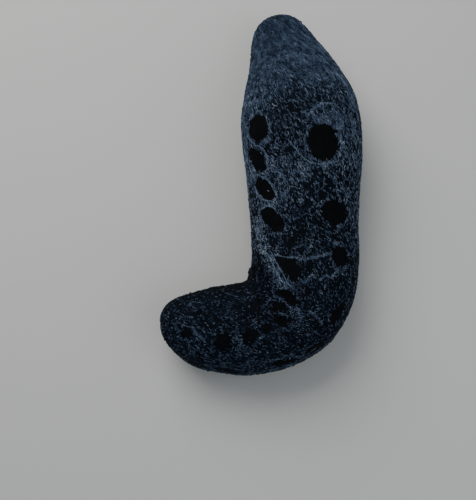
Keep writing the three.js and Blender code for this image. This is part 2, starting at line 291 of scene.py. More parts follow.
def cap_share(distance, cap):
    """The share of the full width left at a distance from a rounded end: (1 - t^p)^(1/p)."""
    t = np.clip(1 - distance / cap["length"], 0, 1)
    return (1 - t ** cap["power"]) ** (1 / cap["power"])


def lift(s):
    """How far the midline is raised towards each end."""
    head = HEAD_LIFT["height"] * (1 - smooth(s / HEAD_LIFT["span"]))
    tail = TAIL_LIFT["height"] * (1 - smooth((BODY_LENGTH - s) / TAIL_LIFT["span"]))
    return head + tail


def forward(s):
    """The midline's direction at s, as a level unit vector."""
    return polar(LEVEL_X, LEVEL_Y, heading(np.asarray(s, float)))


def body_point(s, phi):
    """A point of the smooth body: the midline's place, plus a radius towards phi from a section
    with |side|^p + |up / share|^p = 1 and a low wave along the back."""
    s, phi = np.broadcast_arrays(np.asarray(s, float), np.asarray(phi, float))
    up, side = np.cos(np.radians(phi)), np.sin(np.radians(phi))
    share = np.where(up > 0, BACK["share"], SOLE["share"])
    power = np.where(up > 0, BACK["power"], SOLE["power"])
    section = (np.abs(side) ** power + np.abs(up / share) ** power) ** (-1 / power)
    full = half_width(s)
    rounding = cap_share(s, HEAD_CAP) * cap_share(BODY_LENGTH - s, TAIL_CAP)
    wave = np.sin(2 * np.pi * s / SWELL["wavelength"] + SWELL["skew"] * side)
    swell = SWELL["height"] * rounding * np.maximum(up, 0) * wave
    radius = np.maximum(full * rounding * section + swell, 0)
    angle = heading(s)
    x = np.interp(s, plan_places, plan_x) - np.sin(angle) * radius * side
    y = np.interp(s, plan_places, plan_y) + np.cos(angle) * radius * side
    z = SOLE_LEVEL + lift(s) + SOLE["share"] * full + radius * up
    return np.stack((x, y, z), -1)


NORMAL_STEPS = dict(along=0.4, round=1.0, margin=0.5)


def normal_of(surface, s, phi):
    """The outward normal of a surface: its step along crossed with its step round."""
    margin = NORMAL_STEPS["margin"]
    s = np.clip(s, margin, BODY_LENGTH - margin)
    ds, dphi = NORMAL_STEPS["along"], NORMAL_STEPS["round"]
    along = surface(s + ds, phi) - surface(s - ds, phi)
    around = surface(s, phi + dphi) - surface(s, phi - dphi)
    return unit(np.cross(along, around))


WAY_STEPS = dict(s=0.2, phi=0.5)


def skin_ways(s, phi):
    """How far the smooth body moves for one millimetre of s and for one degree of phi."""
    ds, dphi = WAY_STEPS["s"], WAY_STEPS["phi"]
    along = (body_point(s + ds, phi) - body_point(s - ds, phi)) / (2 * ds)
    return along, (body_point(s, phi + dphi) - body_point(s, phi - dphi)) / (2 * dphi)


def theta_of(s, phi):
    """The angle round the animal's own back, from -180 to 180."""
    return (phi - along_table(ROLLS, s) + 180) % 360 - 180


# The markings: the sand's share of the skin along the body, round the spots and the pale lines, and
# how noise makes it uneven. The coat ends at an angle round the back and at one round the body.
COVERS = (
    (0, 0.15), (50, 0.15), (64, 0.16), (94, 0.17), (108, 0.2), (128, 0.27), (150, 0.33),
    (174, 0.37), (190, 0.43), (206, 0.48), (230, 0.52),
)
COAT_EDGE = dict(theta=150, theta_fade=75, phi=136, phi_fade=30)
COAT_PATCHES = dict(cell=9.0, most=0.5, seed=31)
COAT_CLUMPS = dict(cell=2.4, most=0.6, seed=35)
STREAKS = dict(along=7.5, across=1.9, up=2.8, most=0.5, seed=43)
STREAK_BENDS = dict(cell=4, most=0.8, seed=41)
NET = dict(cell=13.0, most=1, seed=32, cover=0.3, width=0.04)
RIM_COVERS = ((0, 0.14), (60, 0.25), (96, 0.45), (230, 0.5))
SPOT_RIM = dict(distance=0.9, width=0.9, kept=0.45, cell=5.0, most=1.3, seed=33)
LINE_HALO = dict(cover=0.45, width=1.0)
BAND_SAND = dict(cover=0.58, width=4.0, cell=1.9, most=1.1, seed=36)

# How ragged the spots' edges are, how far strands reach over an edge and the share of them that
# lies right across a spot, both along the body, and how far outside an edge the sand begins where
# no strand reaches over it.
RAGGED = (dict(cell=2.6, most=0.13, seed=21), dict(cell=1.1, most=0.07, seed=22))
FRINGES = ((0, 1.2), (24, 1.0), (45, 0.6), (60, 0.25), (230, 0.25))
VEILS = ((0, 0.6), (14, 0.3), (30, 0.25), (45, 0.2), (55, 0), (230, 0))
COVER_EDGE = 0.1

# Broad areas with more or less sand: s, phi, half the length, half the breadth, and the change.
AREAS = (
    (165, 0, 9, 25, -0.5),
    (148, 18, 12, 11, -0.4),
    (109, -20, 14, 15, -0.25),
    (50, 11, 9, 9, -0.45),
    (125, -33, 8, 8, -0.3),
    (170, 62, 7, 10, 0.5),
    (157, -17, 4, 14, 0.4),
    (133, 30, 5, 22, 0.45),
    (119, 32, 7, 6, 0.4),
    (40, -64, 27, 11, 0.7),
    (74, 62, 14, 14, -0.4),
    (157, -42, 7, 9, 0.4),
)

# The grey of the finest sand between the strands, along the body.
DUSTS = (
    (0, 0.21), (56, 0.2), (66, 0.16), (100, 0.17), (130, 0.24), (160, 0.33), (176, 0.5),
    (192, 0.8), (230, 0.92),
)
DUST_PATCHES = dict(cell=6.0, most=0.5, seed=34)
DUST_EDGE = dict(width=0.9, share=0.3)

# The lie of the strands as seen from above, in degrees from +X, and how it waves.
LIES = ((0, -32), (45, -36), (75, -48), (105, -57), (230, -60))
LIE_WAVES = dict(cell=7.0, most=24, seed=45)
BODY_PULL = 0.25


def spot_radius(s, phi):
    """Half the body's thickness through a spot."""
    through = body_point(s, phi) - body_point(s, phi + 180)
    return float(np.linalg.norm(through)) / 2


def spot_distance(s, phi, place):
    """How far outside the nearest spot's ragged edge a point lies, in millimetres."""
    ragged = sum(patches(place, kind) for kind in RAGGED)
    nearest = np.full(np.shape(s), FAR)
    for spot_s, spot_phi, half_length, half_breadth, lean in INNER_SPOTS + OUTER_SPOTS + SPOT_LOBES:
        along = s - spot_s
        around = np.radians(phi - spot_phi) * spot_radius(spot_s, spot_phi) - lean * along
        share = np.hypot(along / half_length, around / half_breadth) + ragged
        nearest = np.minimum(nearest, (share - 1) * min(half_length, half_breadth))
    return nearest


def line_distance(s, phi, line):
    """How far a point lies from a line, on the skin unrolled flat, in millimetres."""
    here = np.stack((s, phi * MM_PER_DEGREE), -1)
    nearest = np.full(np.shape(s), FAR)
    for start, end in itertools.pairwise(line):
        start = np.array((start[0], start[1] * MM_PER_DEGREE))
        step = np.array((end[0], end[1] * MM_PER_DEGREE)) - start
        t = np.clip(dot(here - start, step) / dot(step, step), 0, 1)
        nearest = np.minimum(nearest, np.linalg.norm(here - start - t[..., None] * step, axis=-1))
    return nearest


def lie_on(s, phi, normal):
    """The lie laid flat on the skin, with a little of the body's own direction added, so that it
    never comes to nothing."""
    angle = np.radians(along_table(LIES, s) + patches(body_point(s, phi), LIE_WAVES))
    flat = flattened(polar(LEVEL_X, LEVEL_Y, angle), normal)
    own = flattened(forward(s), normal)
    return unit(flat + BODY_PULL * np.sign(dot(own, flat) + TINY)[..., None] * own)


def streaks(place):
    """Noise drawn out along the lie of the long straight stretch."""
    angle = math.radians(LIES[-1][1])
    bent = place + patches(place, STREAK_BENDS)[..., None]
    along = dot(bent, polar(LEVEL_X, LEVEL_Y, angle)) / STREAKS["along"]
    across = dot(bent, polar(LEVEL_Y, -LEVEL_X, angle)) / STREAKS["across"]
    return noise(np.stack((along, across, bent[..., 2] / STREAKS["up"]), -1), STREAKS["seed"])


def coat_share(s, phi):
    """1 over the back and sides, fading to 0 towards the sole: by theta, and by phi."""
    by_theta = smooth((COAT_EDGE["theta"] - np.abs(theta_of(s, phi))) / COAT_EDGE["theta_fade"])
    return by_theta, smooth((COAT_EDGE["phi"] - np.abs(phi)) / COAT_EDGE["phi_fade"])


def area_change(s, phi):
    """1 plus each area's change, falling off from its middle as e^(-(along^2 + around^2))."""
    change = np.ones(np.shape(s))
    for area_s, area_phi, half_length, half_breadth, most in AREAS:
        around = np.radians(phi - area_phi) * ROUND_RADIUS / half_breadth
        change = change + most * np.exp(-(((s - area_s) / half_length) ** 2) - around**2)
    return change


def band_share(s, phi):
    """1 in the middle of the elbow's band, falling off across it."""
    return falling(line_distance(s, phi, ELBOW_BAND), BAND_SAND["width"])


def sand_cover(s, phi, place):
    """The share of the skin hidden by strands of sand, from 0 to 1: the coat with its areas,
    patches, clumps and streaks, a loose net, the broken rims of the spots, a halo round the pale
    lines, one of which is a painted rim highlight along the foot's lower edge, and the elbow's band."""
    by_theta, by_phi = coat_share(s, phi)
    uneven = 1 + patches(place, COAT_PATCHES) + STREAKS["most"] * streaks(place)
    uneven = (uneven + patches(place, COAT_CLUMPS)) * area_change(s, phi)
    cover = along_table(COVERS, s) * uneven + NET["cover"] * falling(patches(place, NET), NET["width"])
    outside = spot_distance(s, phi, place)
    broken = np.clip(SPOT_RIM["kept"] + patches(place, SPOT_RIM), 0, 1)
    rim = falling(outside - SPOT_RIM["distance"], SPOT_RIM["width"])
    cover = (cover + along_table(RIM_COVERS, s) * broken * rim) * by_theta
    nearest = np.min([line_distance(s, phi, line) for line in PALE_LINES_AND_RIM_HIGHLIGHT], axis=0)
    cover = np.maximum(cover, LINE_HALO["cover"] * falling(nearest, LINE_HALO["width"]))
    clumped = 1 + patches(place, BAND_SAND)
    cover = np.maximum(cover, BAND_SAND["cover"] * clumped * band_share(s, phi))
    beyond = outside > COVER_EDGE - along_table(FRINGES, s) / 2
    return np.clip(cover, 0, 1) * by_phi * np.where(beyond, 1, along_table(VEILS, s))


def dust_share(s, phi, place):
    """How grey the skin itself is, from 0 to 1: by place along the body, in soft patches, and
    nothing in a spot or near the sole."""
    by_theta, by_phi = coat_share(s, phi)
    uneven = area_change(s, phi) * (1 + patches(place, DUST_PATCHES))
    outside = spot_distance(s, phi, place) + along_table(FRINGES, s) / 2
    clear = smooth(outside / DUST_EDGE["width"] + DUST_EDGE["share"])
    clear = np.maximum(clear, along_table(VEILS, s))
    return np.clip(along_table(DUSTS, s) * uneven, 0, 1) * by_theta * by_phi * clear


# The skin's relief. Creases run round the body and are deeper at both ends and shallower in a spot.
WRINKLES = dict(along=2.3, across=12.0, seed=2, narrow=4, power=1.5, depth=0.34)
END_WRINKLES = dict(least=0.6, head=0.5, head_end=26, tail=0.6, tail_start=196, fade=20)
WORN = dict(least=0.25, fade=1.5, share=0.5)
FINE_LINES = dict(along=9.0, across=1.7, seed=3, height=0.1)
LUMPS = dict(cell=16.0, most=0.5, seed=1)
PAPULES = dict(cell=2.0, most=0.12, seed=4)
ELBOW_FOLDS = dict(along=26.0, across=2.6, seed=5, narrow=3, power=1, depth=0.8)
ELBOW = dict(s=74, span=26, theta=62, theta_span=50, reach=1.3)
SPOT_SINK = dict(depth=0.22, edge=0.6)
CALM_ENDS = 6


def relief(s, phi, place):
    """How far the skin stands out from its smooth form: lumps, creases round the body, fine
    lengthwise lines, papules, deeper folds inside the elbow, and the sunk floors of the spots."""
    theta = theta_of(s, phi)
    outside = spot_distance(s, phi, place)
    towards_head = smooth((END_WRINKLES["head_end"] - s) / END_WRINKLES["fade"])
    towards_tail = smooth((s - END_WRINKLES["tail_start"]) / END_WRINKLES["fade"])
    ends = END_WRINKLES["least"] + END_WRINKLES["head"] * towards_head
    ends = ends + END_WRINKLES["tail"] * towards_tail
    worn = WORN["least"] + (1 - WORN["least"]) * smooth(outside / WORN["fade"] + WORN["share"])
    height = patches(place, LUMPS) - WRINKLES["depth"] * ends * worn * grooves(s, theta, WRINKLES)
    height = height + FINE_LINES["height"] * drawn_noise(s, theta, FINE_LINES)
    height = height + patches(place, PAPULES)
    near = smooth(ELBOW["reach"] - np.abs(s - ELBOW["s"]) / ELBOW["span"])
    near = near * smooth(ELBOW["reach"] - np.abs(theta - ELBOW["theta"]) / ELBOW["theta_span"])
    height = height - ELBOW_FOLDS["depth"] * near * grooves(s, theta, ELBOW_FOLDS)
    height = height - SPOT_SINK["depth"] * smooth(SPOT_SINK["edge"] - outside)
    return height * smooth(s / CALM_ENDS) * smooth((BODY_LENGTH - s) / CALM_ENDS)


# The mouth looks down and a little forward from under the head, and its recess reaches a little way
# up into the body, with a gap between it and the back of the disc.
MOUTH = dict(s=14.0, tilt=14, depth=4.5, inner=9.3, outer=10.2, reach=14, fade=4)
MOUTH_GAP = 0.3
mouth_tilt = math.radians(MOUTH["tilt"])
mouth_centre = body_point(MOUTH["s"], 180)
mouth_axis = -math.sin(mouth_tilt) * forward(MOUTH["s"]) - math.cos(mouth_tilt) * UP
mouth_across = unit(flattened(LEVEL_X, mouth_axis))
mouth_third = np.cross(mouth_axis, mouth_across)

# The vent puckers in at the tip of the tail: a star of lobes, with fine folds round it.
VENT = dict(lobe_radius=2.8, notch_radius=1.6, lobes=5, depth=3.6, power=0.7, reach=12)
VENT_FOLDS = dict(count=20, height=0.35, start=2, end=11.2, fade=8)
VENT_WAVER = dict(cell=4, most=2, seed=51)
tail_tip = body_point(BODY_LENGTH, 0)
tail_axis = forward(BODY_LENGTH)


def about_axis(point, centre, axis):
    """How far a point lies along an axis from its centre, and the rest of the way to it."""
    offset = point - centre
    along = dot(offset, axis)
    return along, offset - along[..., None] * axis


def pressed_in(point):
    """The skin with the mouth's recess pushed in flat and the vent drawn in to a star."""
    depth, aside = about_axis(point, mouth_centre, mouth_axis)
    from_axis = np.linalg.norm(aside, axis=-1)
    outwards = smooth((from_axis - MOUTH["inner"]) / (MOUTH["outer"] - MOUTH["inner"]))
    share = smooth((depth + MOUTH["reach"]) / MOUTH["fade"]) * (1 - outwards)
    sink = share * np.maximum(depth + MOUTH["depth"], 0)
    point = point - sink[..., None] * mouth_axis
    along, aside = about_axis(point, tail_tip, tail_axis)
    from_axis = np.linalg.norm(aside, axis=-1)
    turn = np.arctan2(aside[..., 2], dot(aside, np.cross(UP, tail_axis)))
    star = np.cos(VENT["lobes"] * turn)
    far, short = VENT["lobe_radius"], VENT["notch_radius"]
    edge = (far + short + star * (far - short)) / 2
    hole = VENT["depth"] * np.clip(1 - from_axis / edge, 0, 1) ** VENT["power"]
    folds = np.cos(VENT_FOLDS["count"] * turn + patches(point, VENT_WAVER))
    near = smooth((VENT_FOLDS["end"] - from_axis) / VENT_FOLDS["fade"])
    near = near * smooth(from_axis / VENT_FOLDS["start"])
    pucker = VENT_FOLDS["height"] * (1 - folds) * near
    return point - ((along > -VENT["reach"]) * (hole + pucker))[..., None] * tail_axis


TIP_FADE = 2


def skin_point(s, phi):
    """The skin: the smooth body moved along its normal by the relief, less the coat's depth."""
    s, phi = np.broadcast_arrays(np.asarray(s, float), np.asarray(phi, float))
    place = body_point(s, phi)
    normal = normal_of(body_point, s, phi)
    ends = smooth(np.minimum(s, BODY_LENGTH - s) / TIP_FADE)[..., None]
    outward = np.where((s < BODY_LENGTH / 2)[..., None], -forward(s), forward(s))
    normal = unit(ends * normal + (1 - ends) * outward)
    out = relief(s, phi, place) - COAT_DEPTH
    return pressed_in(place + out[..., None] * normal)


# Materials


def feed(tree, made, inputs):
    """Joins each input of a node to a socket, or gives it its value."""
    for key, value in inputs.items():
        if isinstance(value, bpy.types.NodeSocket):
            tree.links.new(value, made.inputs[key])
        else:
            made.inputs[key].default_value = value
    return made


def node(tree, kind, place, inputs=None, **settings):
    """A shader node with its settings and inputs."""
    made = tree.nodes.new("ShaderNode" + kind)
    made.location = place
    for key, value in settings.items():
        setattr(made, key, value)
    return feed(tree, made, inputs or {})


def node_group(name, inputs, outputs):
    """A group with named inputs and outputs, the sockets that it is given, and its end node."""
    group = bpy.data.node_groups.new(name, "ShaderNodeTree")
    for in_out, sockets in (("INPUT", inputs), ("OUTPUT", outputs)):
        for key, kind in sockets.items():
            group.interface.new_socket(key, in_out=in_out, socket_type="NodeSocket" + kind)
    start, end = group.nodes.new("NodeGroupInput"), group.nodes.new("NodeGroupOutput")
    start.location, end.location = (-700, 0), (500, 0)
    return group, start.outputs, end


def mottle_group():
    """Tone and height that vary over a surface: broad noise for the tone, and for the height fine
    noise plus 0.6 * (1 - the distance to the middle of round cells)."""
    inputs = {"Vector": "Vector", "Broad Scale": "Float", "Fine Scale": "Float"}
    group, given, end = node_group("soft_mottle", inputs, {"Tone": "Float", "Height": "Float"})
    broad = {"Vector": given["Vector"], "Scale": given["Broad Scale"], "Detail": 4, "Roughness": 0.6}
    fine = {"Vector": given["Vector"], "Scale": given["Fine Scale"]}
    tone = node(group, "TexNoise", (-400, 200), broad)
    grain = node(group, "TexNoise", (-400, -50), {**fine, "Detail": 3})
    cells = node(group, "TexVoronoi", (-400, -300), {**fine, "Smoothness": 0.6}, feature="SMOOTH_F1")
    parts = {0: 1, 1: cells.outputs["Distance"]}
    rounds = node(group, "Math", (-150, -300), parts, operation="SUBTRACT")
    parts = {0: rounds.outputs[0], 1: 0.6, 2: grain.outputs["Fac"]}
    height = node(group, "Math", (100, -150), parts, operation="MULTIPLY_ADD")
    feed(group, end, {"Tone": tone.outputs["Fac"], "Height": height.outputs[0]})
    return group


# The sizes of the skin's streaks along the lie, across it and upwards.
STREAK_SIZES = (5.0, 1.0, 1.6)


def streak_group():
    """Noise drawn out along the sand's lie, as a share from 0 to 1."""
    group, given, end = node_group("sand_streaks", {"Vector": "Vector"}, {"Share": "Float"})
    lie = {
        "Vector": given["Vector"],
        "Rotation": (0, 0, math.radians(LIES[-1][1])),
        "Scale": [size * MM for size in STREAK_SIZES],
    }
    laid = node(group, "Mapping", (-450, 0), lie, vector_type="TEXTURE")
    drawn = {"Vector": laid.outputs["Vector"], "Scale": 1, "Detail": 3, "Distortion": 0.6}
    streak = node(group, "TexNoise", (-200, 0), drawn)
    spread = {"Value": streak.outputs["Fac"], "From Min": 0.32, "From Max": 0.68}
    share = node(group, "MapRange", (100, 0), spread)
    feed(group, end, {"Share": share.outputs["Result"]})
    return group


MOTTLE = mottle_group()
STREAK_NODES = streak_group()


def plain_material(name):
    """A new material, its node tree and its shader."""
    material = bpy.data.materials.new(name)
    material.use_nodes = True
    tree = material.node_tree
    return material, tree, tree.nodes["Principled BSDF"]


def new_material(name, roughness, specular, broad_scale, fine_scale, bump_height):
    """A material with its shader, the shared mottle on Object coordinates, and its bump."""
    material, tree, shader = plain_material(name)
    place = node(tree, "TexCoord", (-1300, 0)).outputs["Object"]
    scales = {"Vector": place, "Broad Scale": broad_scale, "Fine Scale": fine_scale}
    mottle = node(tree, "Group", (-1100, 0), scales, node_tree=MOTTLE)
    rise = {"Strength": 1, "Distance": bump_height * MM, "Height": mottle.outputs["Height"]}
    bump = node(tree, "Bump", (-250, -300), rise).outputs["Normal"]
    finish = {"Roughness": roughness, "Specular IOR Level": specular, "Normal": bump}
    feed(tree, shader, finish)
    return material, tree, shader, mottle.outputs["Tone"]


def attribute(tree, place, name):
    """The piece's own value of that name at each point."""
    return node(tree, "Attribute", place, attribute_name=name).outputs["Fac"]


def streaked(tree, place, source, least):
    """source * (least + (2 - 2 * least) * streaks), so that on average source stays."""
    x, y = place
    vector = {"Vector": node(tree, "TexCoord", (x - 800, y)).outputs["Object"]}
    streak = node(tree, "Group", (x - 600, y), vector, node_tree=STREAK_NODES)
    parts = {0: streak.outputs["Share"], 1: 2 - 2 * least, 2: least}
    spread = node(tree, "Math", (x - 400, y), parts, operation="MULTIPLY_ADD")
    parts = {0: spread.outputs[0], 1: source}
    return node(tree, "Math", place, parts, operation="MULTIPLY").outputs[0]


def ramp(tree, place, source, stops):
    """A colour ramp through (position, colour) stops."""
    made = node(tree, "ValToRGB", place, {"Fac": source})
    elements = made.color_ramp.elements
    while len(elements) < len(stops):
        elements.new(0.5)
    for element, (position, colour) in zip(elements, stops):
        element.position = position
        element.color = (*colour, 1)
    return made.outputs["Color"]


def mixed(tree, place, share, first, second, **settings):
    """first * (1 - share) + second * share for colours, or as the settings say."""
    parts = {0: share, 6: first, 7: second}
    return node(tree, "Mix", place, parts, data_type="RGBA", **settings).outputs[2]


SKIN_FINISH = dict(
    roughness=0.7, specular=0.035, broad_scale=240, fine_scale=900, bump_height=0.16
)
BARE_FINISH = dict(
    roughness=0.6, specular=0.08, broad_scale=500, fine_scale=1600, bump_height=0.08
)
SAND_FINISH = dict(
    roughness=0.75, specular=0.15, broad_scale=1500, fine_scale=4000, bump_height=0.03
)
SKIN_STOPS = (
    (0.0, (0.0034, 0.0038, 0.0048)),
    (0.12, (0.003, 0.0045, 0.0078)),
    (0.45, (0.0059, 0.0108, 0.0208)),
    (1.0, (0.0163, 0.0302, 0.056)),
)
BARE_STOPS = ((0.3, (0.0045, 0.0045, 0.005)), (0.7, (0.011, 0.0105, 0.011)))
BARE_TIP = (0.035, 0.03, 0.028, 1)
SAND_STOPS = (
    (0.0, (0.0115, 0.0203, 0.0405)),
    (0.35, (0.042, 0.0675, 0.118)),
    (0.75, (0.136, 0.183, 0.271)),
    (1.0, (0.34, 0.4, 0.47)),
)
DUST_LEAST = 0.25
SHADES = ((0.3, (0.7, 0.7, 0.7)), (0.7, (1, 1, 1)))


def shaded(tree, colour, tone):
    """The colour times the mottle's soft shades."""
    shade = ramp(tree, (-700, -100), tone, SHADES)
    return mixed(tree, (-300, 200), 1, colour, shade, blend_type="MULTIPLY")


def skin_material():
    """Black skin, greyed in streaks by fine sand where the dust attribute says so."""
    material, tree, shader, tone = new_material("sanded_skin", **SKIN_FINISH)
    dust = streaked(tree, (-1000, 500), attribute(tree, (-1300, 700), "dust"), DUST_LEAST)
    skin = ramp(tree, (-800, 300), dust, SKIN_STOPS)
    feed(tree, shader, {"Base Color": shaded(tree, skin, tone)})
    return material


def bare_material():
    """The black of the feet and tentacles, paler brown at the suckers."""
    material, tree, shader, tone = new_material("bare_skin", **BARE_FINISH)
    skin = ramp(tree, (-800, 300), tone, BARE_STOPS)
    tip = attribute(tree, (-800, -250), "tip")
    feed(tree, shader, {"Base Color": mixed(tree, (-300, 200), tip, skin, BARE_TIP)})
    return material


def sand_material():
    """Grains of coral sand, from slate to cream by the tone attribute."""
    material, tree, shader, tone = new_material("sand", **SAND_FINISH)
    grain = ramp(tree, (-800, 300), attribute(tree, (-1100, 300), "tone"), SAND_STOPS)
    feed(tree, shader, {"Base Color": shaded(tree, grain, tone)})
    return material


MATERIALS = dict(sanded_skin=skin_material(), bare_skin=bare_material(), sand=sand_material())


# Meshes


def new_object(name, data):
    """An object that holds the data, in the scene."""
    made = bpy.data.objects.new(name, data)
    bpy.context.scene.collection.objects.link(made)
    return made


def add_piece(name, points, faces, slot, uv=None, flat=False, **values):
    """One object of the animal from points in millimetres, lists of three or four corners, and a
    value of each name given at each point."""
    mesh = bpy.data.meshes.new(name)
    mesh.vertices.add(len(points))
    mesh.vertices.foreach_set("co", (points * MM).astype(np.float32).ravel())
    corners = np.concatenate([part.ravel() for part in faces])
    counts = np.concatenate([np.full(len(part), part.shape[1]) for part in faces])
    mesh.loops.add(len(corners))
    mesh.loops.foreach_set("vertex_index", corners.astype(np.int32))
    mesh.polygons.add(len(counts))
    mesh.polygons.foreach_set("loop_start", (np.cumsum(counts) - counts).astype(np.int32))
    mesh.polygons.foreach_set("use_smooth", np.full(len(counts), not flat))
    mesh.update(calc_edges=True)
    if uv is not None:
        layer = mesh.uv_layers.new(name="OFBake")
        layer.data.foreach_set("uv", uv.astype(np.float32).ravel())
    for key, each in values.items():
        layer = mesh.attributes.new(key, "FLOAT", "POINT")
        layer.data.foreach_set("value", each.astype(np.float32).ravel())
    mesh.materials.append(MATERIALS[slot])
    piece = new_object(name, mesh)
    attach(piece, "root")
    return piece


def rings_about(centres, radii, rim):
    """Rings of points: each centre plus a radius, given for each ring or each of its points, times
    the rim's way."""
    return centres[:, :, None] + radii[..., None] * rim


def closed_tube_faces(rings, sides):
    """Faces of a closed tube: one start point, rings of points going counterclockwise about the
    way they are stacked, and one end point."""
    j = np.arange(sides)
    after = (j + 1) % sides
    at = 1 + np.arange(rings - 1)[:, None] * sides
    walls = np.stack((at + j, at + after, at + sides + after, at + sides + j), -1).reshape(-1, 4)
    start = np.stack((0 * j, 1 + after, 1 + j), -1)
    last = 1 + (rings - 1) * sides
    end = np.stack((0 * j + last + sides, last + j, last + after), -1)
    return walls, start, end


def many_tubes(starts, rings, ends):
    """Points and faces of many closed tubes with equal numbers of rings and sides."""
    count, ring_count, sides = rings.shape[:3]
    points = np.concatenate((starts[:, None], rings.reshape(count, -1, 3), ends[:, None]), 1)
    first = np.arange(count) * points.shape[1]
    faces = [
        (part[None] + first[:, None, None]).reshape(-1, part.shape[1])
        for part in closed_tube_faces(ring_count, sides)
    ]
    return points.reshape(-1, 3), faces


# The skin's mesh

LENGTH_NODES = (
    "head_end", "front_bend", "middle_bend", "rear_bend", "middle_length", "rear_length", "tail_end",
)
SKIN_SIDES = 216
SKIN_CAP = dict(span=24.0, rings=52)
SKIN_MIDDLE_RINGS = 352
UNDERSIDE_THINNING = 20.0


def ring_places():
    """The places of the skin's rings: eased towards each tip, and even between."""
    count = SKIN_CAP["rings"]
    eased = SKIN_CAP["span"] * (1 - np.cos(np.arange(1, count) / count * np.pi / 2))
    middle = np.linspace(SKIN_CAP["span"], BODY_LENGTH - SKIN_CAP["span"], SKIN_MIDDLE_RINGS)
    return np.concatenate((eased, middle, BODY_LENGTH - eased[::-1]))


def side_angles(share):
    """The angle at a share of the way round, with the rings' points closer together on the back."""
    turn = 2 * share - 1
    return 180 * turn - UNDERSIDE_THINNING * np.sin(np.pi * turn)


def corner_uv(*corners):
    """The unwrap of some faces, from the u and v of each of their corners."""
    pairs = [np.stack(np.broadcast_arrays(u, v), -1) for u, v in corners]
    return np.stack(pairs, -2).reshape(-1, 2)


def skin_uv(rings):
    """The unwrap of the skin: u along the body, and v round it."""
    u = np.arange(rings + 2) / (rings + 1)
    low, high = u[1:-2, None], u[2:-1, None]
    left, right = np.arange(SKIN_SIDES) / SKIN_SIDES, (np.arange(SKIN_SIDES) + 1) / SKIN_SIDES
    middle = (left + right) / 2
    walls = corner_uv((low, left), (low, right), (high, right), (high, left))
    start = corner_uv((u[0], middle), (u[1], right), (u[1], left))
    end = corner_uv((u[-1], middle), (u[-2], left), (u[-2], right))
    return np.concatenate((walls, start, end))


def make_skin():
    """A closed grid of rings and sides over the whole body, and its unwrap."""
    places = ring_places()
    phi = side_angles(np.arange(SKIN_SIDES) / SKIN_SIDES)
    rings = skin_point(places[:, None], phi)
    tips = skin_point(0, 0)[None], skin_point(BODY_LENGTH, 0)[None]
    points = np.concatenate((tips[0], rings.reshape(-1, 3), tips[1]))
    s, angle = (part.ravel() for part in np.broadcast_arrays(places[:, None], phi))
    dust = dust_share(s, angle, body_point(s, angle))
    dust = np.concatenate(([dust[:SKIN_SIDES].mean()], dust, [0]))
    faces = closed_tube_faces(len(places), SKIN_SIDES)
    skin = add_piece("skin", points, faces, "sanded_skin", skin_uv(len(places)), dust=dust)
    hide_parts(*LENGTH_NODES)


# The grains: bent strands of a few grains each, with the sizes, sways and bends of the strands, the
# area that one grain hides, and rows of grains along the pale lines. The tables run along the body.
STRAND = dict(spacing=0.6, fewest=2, most=7, pitch=0.4)
MOST_GRAINS = ((0, 3.4), (90, 4), (120, 5), (160, 7), (230, 7))
GRAIN_AREA = 0.125
SWAYS = ((0, 30), (120, 28), (160, 18), (185, 12), (230, 12))
BENDS = ((0, 20), (120, 18), (160, 12), (185, 7), (230, 7))
CALMER = ((0, 1), (170, 1), (206, 0.4), (230, 0.4))
MOST_COVER = 0.8
FRINGE_CHANCE = 0.5
TIP_MARGIN = 0.6
LINE_ROWS = dict(rows=3, pitch=0.36, jitter=0.4, kept=0.75, breadth=0.3, tone=0.22, chance=0.6)
LINE_WAVER = dict(most=0.9, cell=3.5, apart=7.3, seed=61)
GRAIN = dict(length=(0.42, 0.8), breadth=(0.27, 0.42), height=(0.24, 0.36))
GRAIN_SET = dict(sunk=0.3, jitter=0.22, turn=12, tilt=0.2, seed=17)
PEBBLE_TOP = dict(share=0.55, height=0.9)
BIG_GRAINS = dict(share=0.03, scale=1.5)
GRAIN_STRETCH = ((0, 1), (150, 1), (185, 1.7), (230, 1.7))
GRAINS_A_PIECE = 12000
GRAIN_PATCH = 0.003

# The grains' tones, from 0, slate, to 1, cream.
TONES = (
    (0, 0.24), (54, 0.23), (70, 0.28), (90, 0.36), (100, 0.41), (110, 0.47), (124, 0.51),
    (140, 0.49), (154, 0.45), (170, 0.41), (186, 0.31), (230, 0.2),
)
TONE_CHANCE = dict(strand=0.2, grain=0.08)
STREAK_TONES = ((0, 0.15), (160, 0.15), (190, 0.32), (230, 0.38))
BAND_TONE = 0.27
TONE_PATCHES = dict(cell=5.0, most=0.1, seed=37)
THIN_AREA_TONE = 0.2
LEAST_TONE = 0.02


def pebble():
    """A pebble's ten corners and sixteen faces: a point below, six corners round the middle, and
    a flat three-cornered top."""
    middle = polar(LEVEL_X, LEVEL_Y, turns(6))
    top = PEBBLE_TOP["share"] * middle[::2] + PEBBLE_TOP["height"] * UP
    corners = np.concatenate((-UP[None], middle, top))
    faces = [(7, 8, 9)]
    for j in range(6):
        faces.append((0, 1 + (j + 1) % 6, 1 + j))
    for k in range(3):
        before, at, after = 1 + (2 * k - 1) % 6, 1 + 2 * k, 2 + 2 * k
        faces += [(before, at, 7 + k), (at, after, 7 + k), (after, 7 + (k + 1) % 3, 7 + k)]
    return corners, np.array(faces)


